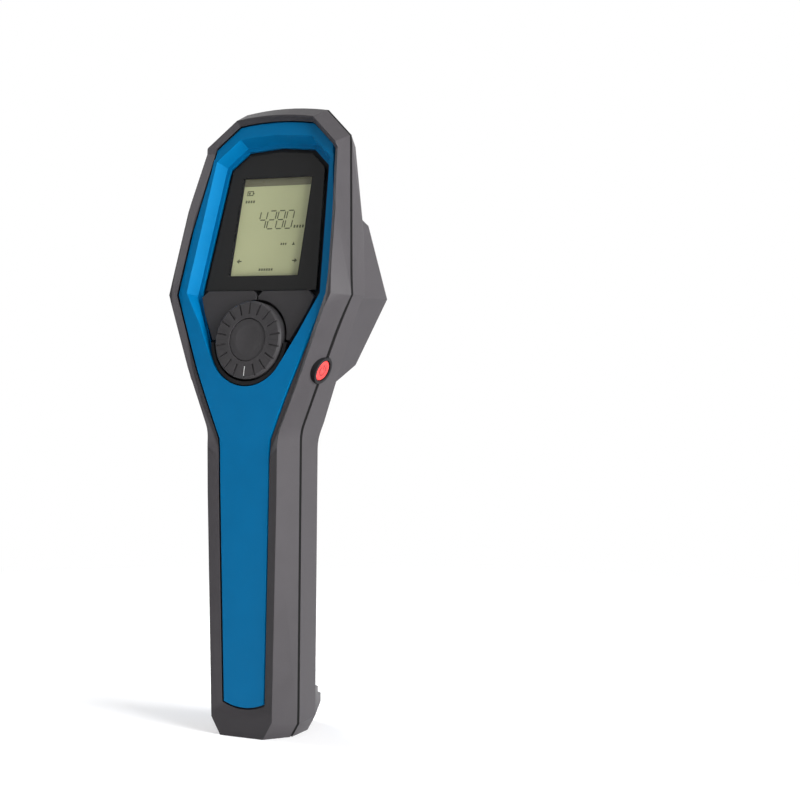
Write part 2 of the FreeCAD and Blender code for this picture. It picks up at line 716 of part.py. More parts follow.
def rear_shell():
    case = case_block(1).common(between(split(seal_gap / 2), rim()))
    case = case.fuse(heel()).removeSplitter()
    pocket = case_block(1, rear_rim).common(behind(rim(-rear_pocket)))
    pocket = pocket.common(ledge_side(-2.0))
    hollow = case_block(1, wall).common(between(split(), rim(-rear_pocket - seat_wall)))
    posts = screw_rods(boss_r, (-1, -1), DEEP)
    posts.append(rod(insert_post_r, Vec(0, -1, cover_screw_z), Vec(0, seat_handle, cover_screw_z)))
    posts.append(rod(tripod_insert_r + tripod_post, Vec(0, tripod_y, 0),
                     Vec(0, tripod_y, tripod_long + tripod_post)))
    hollow = hollow.cut(posts)
    case = case.cut([pocket, hollow])
    low, high = tray_low - bay_below, tray_high + bay_above
    case = case.cut(box(-bay_half, bay_half, cell_front_y, back_y, low, high))
    case = case.cut(rod(lamp_hole_r, Vec(0, 0, lamp_z), Vec(0, hood_y, lamp_z)))
    case = case.cut(screw_rods(case_shank_r + moving_gap, (-2, -2), DEEP))
    case = case.cut(screw_rods(case_head_r + moving_gap, screw_seats, DEEP))
    case = case.cut(rod(screw_insert_r, Vec(0, insert_y0, cover_screw_z), Vec(0, FAR / 8, cover_screw_z)))
    case = case.cut(rod(tripod_insert_r, Vec(0, tripod_y, 0), Vec(0, tripod_y, tripod_long)))
    case = case.cut(box(-slit_half, slit_half, slit_y - slit_t / 2, slit_y + slit_t / 2,
                        ledge_out_z - slit_deep, ledge_in_z))
    return case.cut(side_holes)


def parting_seal():
    layer = between(split(-seal_gap / 2), split(seal_gap / 2))
    ring = case_block(-1, seal_recess).common(layer).cut(case_block(-1, seal_depth))
    return ring.cut(side_holes)


def front_trim():
    plate = trim_block().common(between(trim_face(), trim_face(trim_t)))
    plate = plate.common(foot_arch(0.0).fuse(box(-FAR, FAR, -FAR, FAR, neck_z, FAR)))
    well = fuse(opening_taper(well_wall, opening_r + 0.8),
                opening_prism(panel_inset - well_band - well_wall, opening_r + 0.8, 0, window_thick))
    well = well.common(behind(trim_face()))
    cut = [opening_taper(0.0, opening_r), opening_prism(panel_inset, opening_r, -fit, window_thick + 1)]
    return plate.fuse(well).removeSplitter().cut(cut)


def crown_solid(inset=0.0):
    return crown_block(inset).common(between(rim(fit - rear_pocket), back(-inset)))


def crown_hollow():
    return crown_block(crown_t).common(between(rim(-FAR / 40), back(-crown_t)))


def rear_trim():
    skin = crown_solid().cut(crown_hollow()).common(box(-FAR, FAR, -FAR, FAR, cover_top_z + cover_gap, FAR))
    return skin.cut(hood_block(-rear_gap))


head_y = back_y - cover_head_sink - cover_head_t            # seat of the cover screw's head
boss_y = head_y - cover_boss_deep


def battery_cover():
    whole = crown_solid().cut(box(-FAR, FAR, -FAR, FAR, cover_top_z, FAR))
    whole = whole.common(ledge_side(rear_gap))
    skin = whole.cut(crown_hollow().common(ledge_side(rear_gap + crown_t)))
    at = cover_screw_z
    boss = rod(cover_recess_r + cover_boss_deep / 2, Vec(0, boss_y, at), Vec(0, back_y, at)).common(whole)
    skin = skin.fuse(boss).removeSplitter()
    skin = skin.cut(rod(cover_recess_r, Vec(0, head_y, at), Vec(0, back_y + 1, at)))
    return skin.cut(rod(cover_shank_r + fit, Vec(0, 0, at), Vec(0, back_y, at)))


def battery_screw():
    at = cover_screw_z
    head = rod(cover_head_r, Vec(0, head_y, at), Vec(0, head_y + cover_head_t, at))
    slot = box(-screw_slot_half, screw_slot_half, head_y + cover_head_t - screw_slot_deep, back_y,
               at - cover_recess_r, at + cover_recess_r)
    slot.rotate(Vec(0, 0, at), Y, screw_slot_turn)
    shank = rod(cover_shank_r, Vec(0, (insert_y0 + insert_y1) / 2, at), Vec(0, head_y, at))
    return fuse(head, shank).cut(slot)


def lamp_hood():
    hood = hood_block().common(behind(rim(-rear_pocket + fit)))
    back = window_y - window_t - window_lip - 1.0
    hollow = hood_block(hood_wall).cut(box(-FAR, FAR, back, FAR, -FAR, FAR))
    bore = rod(lamp_r + window_lip + fit, Vec(0, 0, lamp_z), Vec(0, window_y, lamp_z))
    mouth = rod(lamp_r, Vec(0, 0, lamp_z), Vec(0, hood_y + 1, lamp_z))
    dish = Part.makeCone(lamp_r, dish_r, dish_depth, Vec(0, hood_y - dish_depth, lamp_z), Y)
    hood = hood.cut([hollow, bore, mouth, dish])
    return hood


window_y = hood_y - dish_depth - window_recess              # outer face of the lamp window


def led_spots():
    for angle in led_angles:
        yield led_ring * cosine(angle), lamp_z + led_ring * sine(angle)


lens_y = mask_y + lens_proud
board_y = lens_y - lens_long - lens_stand                   # front face of the lamp board


def collimator_lenses():
    out = []
    for x, z in led_spots():
        base, tip = Vec(x, lens_y - lens_long, z), Vec(x, lens_y, z)
        shape = Part.makeCone(lens_back_r, lens_r, lens_long, base, Y)
        dish = Part.makeSphere(lens_dish_r, tip + Y * (lens_dish_r - lens_proud * 4))
        out.append(shape.cut(rod(lens_well_r, base, base + Y * lens_well_deep)).cut(dish))
    return Part.makeCompound(out)


def lamp_mask():
    disc = rod(lamp_r + window_lip - fit, Vec(0, mask_y - mask_t, lamp_z), Vec(0, mask_y, lamp_z))
    holes = [rod(lens_r + fit, Vec(x, 0, z), Vec(x, hood_y, z)) for x, z in led_spots()]
    return disc.cut(holes)


def led_emitters():
    out = []
    for x, z in led_spots():
        body = box(x - led_half, x + led_half, board_y, board_y + led_t, z - led_half, z + led_half)
        out.append(fuse(body, rod(led_dome_r, Vec(x, board_y, z), Vec(x, board_y + led_t + led_dome_t, z))))
    return Part.makeCompound(out)


def heat_sink():
    radius, back_face = lamp_hole_r - lamp_board_gap, board_y - lamp_board_t
    plate = rod(radius, Vec(0, back_face - heat_sink_t, lamp_z), Vec(0, back_face, lamp_z))
    fins = []
    for i in range(-fin_side, fin_side + 1):
        x = i * fin_pitch
        reach = math.sqrt(radius ** 2 - x ** 2) - fin_t / 2
        fins.append(box(x - fin_t / 2, x + fin_t / 2, back_face - heat_sink_t - fin_long,
                        back_face - heat_sink_t, lamp_z - reach, lamp_z + reach))
    return fuse(plate, fins)


def badge_plate():
    plate = prism([Vec(x, back_offset, u) for x, u in symmetric([badge_top, badge_foot])], Y * badge_t)
    return in_head(plate).cut(hood_block(-badge_hood_gap))


# ================================================================ display
def symmetric(points):
    return list(points) + [(-x, u) for x, u in reversed(points)]


def display_window():
    outline = opening_wire(panel_inset + window_edge_gap, opening_r - 1, 0)
    plate = Part.Face(outline).extrude(Y * window_thick)
    plate = plate.cut(box(-FAR, FAR, -FAR, FAR, -FAR, window_foot))
    edges = [e for e in plate.Edges
             if abs(e.CenterOfMass.y - window_thick / 2) < 1e-3 and e.CenterOfMass.z > window_foot * 2]
    return in_head(plate.makeFillet(window_corner_r, edges))


def control_panel():
    d0, d1 = panel_depth, panel_depth + panel_t
    plate = opening_prism(panel_inset - panel_flange, opening_r - fit, d0, d1)
    aperture = in_head(box(-lcd_half, lcd_half, d0 - 1, d1 + 1, lcd_low, lcd_high))
    edge = lcd_border + fit
    pocket = in_head(box(-lcd_half - edge, lcd_half + edge, d0 + lcd_sink, d1 + 1,
                         lcd_low - edge - fit, lcd_high + edge))
    wall_above = in_head(box(-FAR, FAR, -FAR, d0, dial_at(0.0) - 1, FAR))
    cup = fuse(plate, dial_rod(dial_r + cup_gap + cup_wall, dial_front, cup_end).cut(wall_above))
    cup = cup.cut([dial_rod(dial_r + cup_gap, -dial_t, cup_end - cup_floor), aperture, pocket])
    cup = cup.cut(dial_rod(hub_r + running_fit, 0, FAR / 20))
    for side in (1, -1):
        cup = cup.cut(key_stem(side, key_stem_r + moving_gap, -key_end, key_end * 2))
    return cup


def key_stem(side, radius, d0, d1):
    x, u = key_spot
    return in_head(rod(radius, Vec(side * x, d0, u), Vec(side * x, d1, u)))


def key(side):
    inset = panel_inset + key_edge
    xw = crossing(plan_line("neck", inset), plan_line("head", inset))[0]
    foot = crossing(plan_line("neck", inset), (0, 1, dial_at(0.0)))
    round_off = key_t
    points = [(key_edge / 2, key_top - round_off), (round_off, key_top), (xw - round_off * 1.6, key_top),
              (xw, key_top - round_off * 1.5), foot, (key_edge / 2, foot[1])]
    plate = prism([Vec(side * x, -key_rise, u) for x, u in points], Y * key_t)
    plate = in_head(plate).common(opening_prism(inset, opening_r - fit * 2, -key_t * 2, key_t * 2))
    plate = plate.cut(dial_rod(dial_r + cup_gap + fit, -FAR / 40, FAR / 20))
    return fuse(plate, key_stem(side, key_stem_r, key_t - key_rise, key_end))


def jog_ring():
    ring = rod(dial_r, Vec(0, 0, 0), Vec(0, dial_t, 0))
    rim_edges = [e for e in ring.Edges if abs(e.CenterOfMass.y) < 1e-3 and len(e.Vertexes) < 2]
    ring = ring.makeChamfer(dial_chamfer, rim_edges)
    ring = ring.cut(rod(cap_r + fit, Vec(0, -1, 0), Vec(0, dial_t - dial_floor, 0)))
    ring = ring.cut(rod(stem_r + fit, Vec(0, 0, 0), Vec(0, dial_t + 1, 0)))
    groove = box(cap_r + dial_chamfer * 2, dial_r + 1, -1, groove_deep, -groove_half, groove_half)
    cuts = []
    for i in range(dial_grooves):
        one = groove.copy()
        one.rotate(Vec(0, 0, 0), Y, 360.0 * i / dial_grooves + groove_turn)
        cuts.append(one)
    return in_dial(ring.cut(cuts))


def centre_button():
    depth = dial_t - dial_floor - cap_travel - fit
    cap = rod(cap_r, Vec(0, cap_sink, 0), Vec(0, depth, 0))
    cap = cap.cut(Part.makeSphere(cap_dish_r, Vec(0, cap_sink + cap_dish - cap_dish_r, 0)))
    tip = control_y - switch_t - switch_tip - cap_travel - fit
    return in_dial(fuse(cap, rod(stem_r, Vec(0, depth, 0), Vec(0, tip, 0))))


def jog_hub():
    end = cup_end + wheel_gap + wheel_t * 1.6
    return in_dial(tube(hub_r, stem_r + fit, Vec(0, dial_t, 0), Vec(0, end, 0)))


def code_wheel():
    start = cup_end + wheel_gap
    return in_dial(tube(wheel_r, hub_r, Vec(0, start, 0), Vec(0, start + wheel_t, 0)))


def encoder_sensor():
    half, top = switch_half - wheel_t, -(hub_r + 1)
    return in_dial(box(-half, half, control_y - wheel_r / 6.5, control_y, top - cup_floor * 2.4, top))


def tact_switches():
    body = box(-switch_half, switch_half, control_y - switch_t, control_y, -switch_half, switch_half)
    tip = rod(key_stem_r, Vec(0, control_y - switch_t - switch_tip, 0), Vec(0, control_y, 0))
    return Part.makeCompound([in_dial(fuse(body, tip))])


# ================================================================ cells
def cell_spots():
    return ((cell_x, cell_front_y), (-cell_x, cell_front_y), (0.0, cell_rear_y))


def battery_tray():
    low, high = tray_low, tray_high
    inset = wall + fit
    body = fuse(case_block(-1, inset).common(between(trim_face(trim_back + seat_wall + fit), split())),
                case_block(1, inset).common(between(split(), rim(-rear_pocket - seat_wall - fit))))
    lower = body.common(box(-FAR, FAR, -FAR, cell_front_y, low, high))
    step, end_half = cell_rear_y - cell_front_y + tray_wall, bay_half - tray_wall
    ends = [box(-half, half, y, y + deep, z, z + tray_wall) for z in (low, high - tray_wall)
            for half, y, deep in ((end_half, 0, step), (end_half / 2, step - 1, cell_r + tray_wall))]
    floor, roof = low + tray_wall, high - tray_wall
    hollow = [rod(cell_r + fit, Vec(x, cell_front_y, floor), Vec(x, cell_front_y, roof))
              for x in (-cell_x, cell_x)]
    return fuse(lower, ends).cut(hollow)


def cells():
    out = []
    for x, y in cell_spots():
        top = cell_low + cell_long
        body = rod(cell_r, Vec(x, y, cell_low), Vec(x, y, top - cell_tip))
        tip = rod(cell_tip_r, Vec(x, y, top - cell_tip), Vec(x, y, top))
        out.append(fuse(body, tip))
    return Part.makeCompound(out)


def contact_springs():
    out = []
    foot = tray_low + tray_wall + contact_t
    high = cell_low - fit / 6 - foot
    wide, slim = contact_deep, cell_tip_r
    for x, y in cell_spots():
        outer = Part.makeCone(wide, slim, high, Vec(x, y, foot), Z)
        inner = Part.makeCone(wide - tray_wall / 2, slim - tray_wall / 2, high, Vec(x, y, foot), Z)
        out.append(outer.cut(inner))
    return Part.makeCompound(out)


def contact_plates():
    out = []
    for x, y in cell_spots():
        end = min(y + contact_deep, cell_rear_y + contact_deep)
        for z in (tray_low + tray_wall, tray_high - tray_wall - contact_t):
            out.append(box(x - contact_half, x + contact_half, y - contact_deep, end, z, z + contact_t))
    return Part.makeCompound(out)


def cell_pad():
    start = cell_rear_y + cell_r + fit
    low, high = cell_low + pad_end, cell_low + cell_long - pad_end
    return box(-pad_half, pad_half, start, back_y - crown_t, low, high)


def label_plate():
    return box(-label_half, label_half, back_y, back_y + label_t, label_low, cover_top_z - label_end)


# ================================================================ boards
def head_board(half, span, depth, thick):
    return in_head(box(-half, half, depth, depth + thick, *span))


def control_board():
    half = power_spot.x - board_to_switch
    return in_dial(box(-half, half, control_y, control_y + board_t, *control_board_z))


def driver_board():
    low = tray_high + driver_gap
    return box(-driver_half, driver_half, driver_y, driver_y + board_t, low, low + driver_long)


def capacitors():
    low, y = tray_high + driver_gap + capacitor_up, driver_y + board_t + capacitor_r
    return Part.makeCompound([rod(capacitor_r, Vec(x, y, low), Vec(x, y, low + capacitor_long))
                              for x in (-capacitor_x, capacitor_x)])


def choke():
    z = tray_high + driver_gap + choke_up
    return rod(choke_r, Vec(0, driver_y - choke_long, z), Vec(0, driver_y, z))


# ================================================================ side buttons and screws
def power_button():
    flange = power_rod(power_r + power_flange, -power_deep, power_flange_t - power_deep)
    return fuse(power_rod(power_r, -power_deep, power_rise), flange)


def power_collar():
    return power_rod(collar_r, -collar_deep, collar_rise).cut(power_rod(power_r + fit, -FAR / 40, FAR / 40))


def power_switch():
    start = -power_deep - power_switch_gap
    return power_rod(power_switch_r, start - power_switch_long, start)


def screw_insert():
    return tube(screw_insert_r, cover_shank_r + running_fit, Vec(0, insert_y0 + 1, cover_screw_z),
                Vec(0, insert_y1, cover_screw_z))


def screw_retainer():
    end = boss_y - retainer_gap
    start = Vec(0, end - retainer_t, cover_screw_z)
    return tube(retainer_r, cover_shank_r, start, Vec(0, end, cover_screw_z))


def case_screws():
    tops = tuple(seat + case_head_t for seat in screw_seats)
    heads = screw_rods(case_head_r, screw_seats, tops)
    shanks = screw_rods(case_shank_r, case_screw_end, screw_seats)
    return Part.makeCompound([fuse(head, shank) for head, shank in zip(heads, shanks)])


# ================================================================ write the pieces
save("front_shell", front_shell())
save("rear_shell", rear_shell())
save("parting_seal", parting_seal())
save("front_trim", front_trim())
save("rear_trim", rear_trim())
save("battery_cover", battery_cover())
save("battery_screw", battery_screw())
save("lamp_hood", lamp_hood())

window_back = window_y - window_t
save("lamp_window", rod(lamp_r + window_lip, Vec(0, window_back, lamp_z), Vec(0, window_y, lamp_z)))
save("window_seal", tube(lamp_r + window_lip, lamp_r - window_lip / 2, Vec(0, window_back - 1.0, lamp_z),
                         Vec(0, window_back, lamp_z)))
save("lamp_mask", lamp_mask())
save("collimator_lenses", collimator_lenses())
save("led_emitters", led_emitters())
save("lamp_board", rod(lamp_hole_r - lamp_board_gap, Vec(0, board_y - lamp_board_t, lamp_z),
                       Vec(0, board_y, lamp_z)))
save("heat_sink", heat_sink())
save("badge_plate", badge_plate())

save("display_window", display_window())
save("control_panel", control_panel())
lcd_edges = (-lcd_half - lcd_border, lcd_half + lcd_border)
lcd_y = panel_depth + lcd_sink
guide_y = lcd_y + lcd_t
save("lcd_glass", in_head(box(*lcd_edges, lcd_y, guide_y, lcd_low - lcd_border, lcd_high + lcd_border)))
guide = box(*lcd_edges, guide_y, guide_y + guide_t, lcd_low - fit, lcd_high + lcd_border)
save("light_guide", in_head(guide))
save("zebra_strip", in_head(box(-lcd_half, lcd_half, guide_y, display_board_y, lcd_low - lcd_border,
                                lcd_low - lcd_border + zebra_high)))
save("display_board", head_board(display_board_half, display_board_z, display_board_y, board_t))
save("key_left", key(-1))
save("key_right", key(1))

save("jog_ring", jog_ring())
save("jog_hub", jog_hub())
save("code_wheel", code_wheel())
save("centre_button", centre_button())
save("encoder_sensor", encoder_sensor())
save("control_board", control_board())
save("tact_switches", tact_switches())
save("driver_board", driver_board())
save("capacitors", capacitors())
save("choke", choke())

save("power_button", power_button())
save("power_collar", power_collar())
save("power_switch", power_switch())
save("side_plug", plug_rod(plug_r, -plug_deep, -plug_sink))

save("battery_tray", battery_tray())
save("battery_cells", cells())
save("contact_springs", contact_springs())
save("contact_plates", contact_plates())
save("cell_pad", cell_pad())
save("label_plate", label_plate())
save("screw_insert", screw_insert())
save("screw_retainer", screw_retainer())
save("case_screws", case_screws())
insert = tube(tripod_insert_r, tripod_minor_r, Vec(0, tripod_y, 0), Vec(0, tripod_y, tripod_long))
save("tripod_insert", insert)
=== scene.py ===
import json
import math

import bmesh
import bpy
from mathutils import Matrix, Vector


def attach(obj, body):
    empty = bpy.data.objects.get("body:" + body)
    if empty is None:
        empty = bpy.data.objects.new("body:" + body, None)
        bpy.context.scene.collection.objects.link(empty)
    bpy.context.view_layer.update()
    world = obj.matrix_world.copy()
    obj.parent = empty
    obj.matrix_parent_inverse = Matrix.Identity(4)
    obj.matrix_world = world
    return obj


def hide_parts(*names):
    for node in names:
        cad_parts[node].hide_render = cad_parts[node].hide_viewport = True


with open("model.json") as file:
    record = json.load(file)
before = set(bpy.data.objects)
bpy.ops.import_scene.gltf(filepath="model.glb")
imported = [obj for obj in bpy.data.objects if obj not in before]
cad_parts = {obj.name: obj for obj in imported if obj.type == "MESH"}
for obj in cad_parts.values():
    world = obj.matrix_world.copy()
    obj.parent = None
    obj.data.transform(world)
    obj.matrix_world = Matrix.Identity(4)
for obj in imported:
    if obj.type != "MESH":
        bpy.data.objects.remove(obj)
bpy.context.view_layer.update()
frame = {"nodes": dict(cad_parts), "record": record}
print("frame loaded", len(frame["nodes"]), "nodes")

mm = 0.001
originShift = -11.0                       # parting plane of the handle lies this far before the origin

bpy.context.scene.view_settings.view_transform = "Standard"


# camera, placed in the millimetres of the model
cameraView = {"lens": 89.5, "sensor": 36.0, "place": (403.2, -591.5, 138.0),
              "heading": -30.19, "pitch": -1.424, "roll": 0.2325}


def makeCamera(view):
    data = bpy.data.cameras.new("camera")
    data.sensor_width = view["sensor"]
    data.lens = view["lens"]
    camera = bpy.data.objects.new("camera", data)
    bpy.context.collection.objects.link(camera)
    x, y, z = view["place"]
    turn = Matrix.Rotation(math.radians(-view["heading"]), 4, "Z")
    tilt = Matrix.Rotation(math.radians(90 + view["pitch"]), 4, "X")
    spin = Matrix.Rotation(math.radians(view["roll"]), 4, "Z")
    place = Matrix.Translation((x * mm, (y + originShift) * mm, z * mm))
    camera.matrix_world = place @ turn @ tilt @ spin
    bpy.context.scene.camera = camera


makeCamera(cameraView)


# helpers for node trees
def setInputs(tree, node, inputs):
    # another node's socket is linked, a plain value is set
    for label, value in inputs.items():
        if isinstance(value, bpy.types.NodeSocket):
            tree.links.new(value, node.inputs[label])
        else:
            node.inputs[label].default_value = value


def addNode(tree, kind, inputs=None, **settings):
    node = tree.nodes.new(kind)
    for label, value in settings.items():
        setattr(node, label, value)
    setInputs(tree, node, inputs or {})
    return node


def mathNode(tree, operation, *values):
    node = addNode(tree, "ShaderNodeMath", dict(enumerate(values)), operation=operation)
    return node.outputs[0]


def mixShaders(tree, factor, first, second):
    return addNode(tree, "ShaderNodeMixShader", {
        0: factor, 1: first.outputs[0], 2: second.outputs[0]})


def objectPlace(tree):
    return addNode(tree, "ShaderNodeTexCoord").outputs["Object"]


def newTree(name, kind, inputs, outputs):
    # node tree with named sockets, given back with its start and its end
    tree = bpy.data.node_groups.new(name, kind)
    for way, sockets in (("INPUT", inputs), ("OUTPUT", outputs)):
        for label, data in sockets.items():
            tree.interface.new_socket(name=label, in_out=way, socket_type="NodeSocket" + data)
    return tree, tree.nodes.new("NodeGroupInput").outputs, tree.nodes.new("NodeGroupOutput")


def plain(name, settings):
    # constants are set straight on the shader's sockets
    material = bpy.data.materials.new(name)
    material.use_nodes = True
    shader = material.node_tree.nodes["Principled BSDF"]
    setInputs(material.node_tree, shader, settings)
    return material, material.node_tree, shader


# floor and light
studio = {
    "sky": 0.08, "white": (1, 1, 1, 1), "target": (0, 0, 0.12),
    "floorSize": 8.0, "floorColor": (0.93, 0.93, 0.94, 1), "floorRoughness": 0.85, "floorGloss": 0.1,
    "floorGlow": 0.12, "whiteFrom": 0.20, "whiteTo": 0.55}
lamps = {                                 # power, width and height, place
    "rightLamp": (46.0, (0.8, 0.9), (1.25, -0.22, 0.42)),
    "leftLamp": (32.0, (1.1, 1.0), (-1.25, 0.32, 0.46)),
    "frontLamp": (0.3, (0.8, 0.8), (-0.35, -1.2, 0.60)),
    "backLamp": (0.6, (0.8, 0.8), (0.35, 1.2, 0.60)),
    "topLamp": (1.5, (0.9, 0.9), (0.1, 0.0, 1.15))}


def areaLamp(name, watts, size, place):
    data = bpy.data.lights.new(name, "AREA")
    data.shape = "RECTANGLE"
    data.size, data.size_y = size
    data.energy = watts
    lamp = bpy.data.objects.new(name, data)
    bpy.context.collection.objects.link(lamp)
    lamp.location = place
    aim = Vector(studio["target"]) - Vector(place)
    lamp.rotation_euler = aim.to_track_quat("-Z", "Y").to_euler()


def backgroundRays(tree):
    # what is looked at, seen through or mirrored, and not what lights
    path = addNode(tree, "ShaderNodeLightPath").outputs
    seen = mathNode(tree, "MAXIMUM", path["Is Camera Ray"], path["Is Transmission Ray"])
    return mathNode(tree, "MAXIMUM", seen, path["Is Glossy Ray"])


def makeWorld(values):
    world = bpy.data.worlds.new("studioWorld")
    bpy.context.scene.world = world
    world.use_nodes = True
    tree = world.node_tree
    sky = tree.nodes["Background"]
    setInputs(tree, sky, {"Color": values["white"], "Strength": values["sky"]})
    shown = addNode(tree, "ShaderNodeBackground", {"Color": values["white"], "Strength": 1.0})
    mixed = mixShaders(tree, backgroundRays(tree), sky, shown)
    setInputs(tree, tree.nodes["World Output"], {"Surface": mixed.outputs[0]})


def makeFloor(values):
    half = values["floorSize"] / 2
    mesh = bpy.data.meshes.new("floor")
    corners = [(-half, -half, 0), (half, -half, 0), (half, half, 0), (-half, half, 0)]
    mesh.from_pydata(corners, [], [(0, 1, 2, 3)])
    floor = bpy.data.objects.new("floor", mesh)
    bpy.context.collection.objects.link(floor)
    material, tree, paper = plain("floorPaper", {
        "Base Color": values["floorColor"], "Roughness": values["floorRoughness"],
        "Specular IOR Level": values["floorGloss"]})
    # near the object the paper shows the shadow, farther out it turns to the background's white
    distance = addNode(tree, "ShaderNodeVectorMath", {0: objectPlace(tree)}, operation="LENGTH")
    away = addNode(tree, "ShaderNodeMapRange", {
        "Value": distance.outputs["Value"], "From Min": values["whiteFrom"],
        "From Max": values["whiteTo"]}, interpolation_type="SMOOTHSTEP")
    glow = addNode(tree, "ShaderNodeEmission", {"Strength": values["floorGlow"]})
    lit = addNode(tree, "ShaderNodeAddShader", {0: paper.outputs[0], 1: glow.outputs[0]})
    white = addNode(tree, "ShaderNodeEmission")
    shown = mixShaders(tree, away.outputs["Result"], lit, white)
    mixed = mixShaders(tree, backgroundRays(tree), paper, shown)
    setInputs(tree, tree.nodes["Material Output"], {"Surface": mixed.outputs[0]})
    mesh.materials.append(material)


makeWorld(studio)
makeFloor(studio)
for name, (watts, size, place) in lamps.items():
    areaLamp(name, watts, size, place)
print("stage ready")


# grain of moulded plastic, shared by all plastics
grain = {"fineDetail": 3.0, "fineRoughness": 0.65, "pitShare": 0.6, "broadScale": 90.0, "broadDetail": 4.0}
noiseSpan = (0.3, 0.7)                    # nearly all of a noise lies between these


def makeGrainGroup(values):
    # eroded grain as a height, and a broad faint mottle as a mask
    tree, start, end = newTree("mouldGrain", "ShaderNodeTree", {"Scale": "Float", "Depth": "Float"},
                               {"Height": "Float", "Mottle": "Float"})
    place = objectPlace(tree)
    fine = addNode(tree, "ShaderNodeTexNoise", {
        "Vector": place, "Scale": start["Scale"], "Detail": values["fineDetail"],
        "Roughness": values["fineRoughness"]})
    pits = addNode(tree, "ShaderNodeTexVoronoi", {"Vector": place, "Scale": start["Scale"]})
    both = mathNode(tree, "MULTIPLY_ADD", pits.outputs["Distance"], values["pitShare"],
                    fine.outputs["Fac"])
    broad = addNode(tree, "ShaderNodeTexNoise", {
        "Vector": place, "Scale": values["broadScale"], "Detail": values["broadDetail"]})
    setInputs(tree, end, {"Height": mathNode(tree, "MULTIPLY", both, start["Depth"]),
                          "Mottle": broad.outputs["Fac"]})
    return tree


grainGroup = makeGrainGroup(grain)


def ramp(tree, source, low, high):
    node = addNode(tree, "ShaderNodeValToRGB", {"Fac": source})
    for stop, position, color in zip(node.color_ramp.elements, noiseSpan, (low, high)):
        stop.position = position
        stop.color = (*color, 1)
    return node.outputs["Color"]


def spread(tree, source, low, high):
    return addNode(tree, "ShaderNodeMapRange", {
        "Value": source, "From Min": noiseSpan[0], "From Max": noiseSpan[1],
        "To Min": low, "To Max": high}).outputs["Result"]


def tone(color, factor):
    return tuple(min(1.0, part * factor) for part in color)


# how the three kinds of finish look, unless a finish says otherwise
mouldedLook = {"scale": 2600.0, "depth": 1.0, "bump": 0.06, "bumpDistance": 0.0002, "mottle": 0.06,
               "uneven": 0.04, "coat": 0.0, "coatRoughness": 0.12, "gloss": 0.5, "sheen": (1.0, 1.0, 1.0)}
metalLook = {"detail": 5.0, "dark": 0.94, "light": 1.05, "smoother": 0.06, "rougher": 0.08}
clearLook = {"cloudScale": 60.0, "cloudTone": 0.985}


def moulded(name, color, roughness, **changes):
    look = {**mouldedLook, **changes}
    material, tree, shader = plain(name, {
        "Coat Weight": look["coat"], "Coat Roughness": look["coatRoughness"],
        "Specular IOR Level": look["gloss"], "Specular Tint": (*look["sheen"], 1)})
    surface = addNode(tree, "ShaderNodeGroup", {"Scale": look["scale"], "Depth": look["depth"]},
                      node_tree=grainGroup).outputs
    relief = addNode(tree, "ShaderNodeBump", {
        "Strength": look["bump"], "Distance": look["bumpDistance"], "Height": surface["Height"]})
    dark, light = tone(color, 1 - look["mottle"]), tone(color, 1 + look["mottle"])
    smooth, rough = roughness - look["uneven"], roughness + look["uneven"]
    setInputs(tree, shader, {
        "Base Color": ramp(tree, surface["Mottle"], dark, light),
        "Roughness": spread(tree, surface["Mottle"], smooth, rough),
        "Normal": relief.outputs["Normal"]})
    return material


def metal(name, color, roughness, streak=900.0):
    material, tree, shader = plain(name, {"Metallic": 1.0})
    noise = addNode(tree, "ShaderNodeTexNoise", {
        "Vector": objectPlace(tree), "Scale": streak, "Detail": metalLook["detail"]}).outputs["Fac"]
    dark, light = tone(color, metalLook["dark"]), tone(color, metalLook["light"])
    smooth, rough = roughness - metalLook["smoother"], roughness + metalLook["rougher"]
    setInputs(tree, shader, {"Base Color": ramp(tree, noise, dark, light),
                             "Roughness": spread(tree, noise, smooth, rough)})
    return material


def clear(name, color, ior):
    # clear plastic; light that only crosses it on its way to what lies behind isn't held back
    material, tree, shader = plain(name, {"Transmission Weight": 1.0, "IOR": ior, "Roughness": 0.0})
    noise = addNode(tree, "ShaderNodeTexNoise", {
        "Vector": objectPlace(tree), "Scale": clearLook["cloudScale"]}).outputs["Fac"]
    setInputs(tree, shader, {
        "Base Color": ramp(tree, noise, tone(color, clearLook["cloudTone"]), color)})
    path = addNode(tree, "ShaderNodeLightPath").outputs
    crossing = mathNode(tree, "MAXIMUM", path["Is Shadow Ray"], path["Is Diffuse Ray"])
    mixed = mixShaders(tree, crossing, shader, addNode(tree, "ShaderNodeBsdfTransparent"))
    setInputs(tree, tree.nodes["Material Output"], {"Surface": mixed.outputs[0]})
    return material


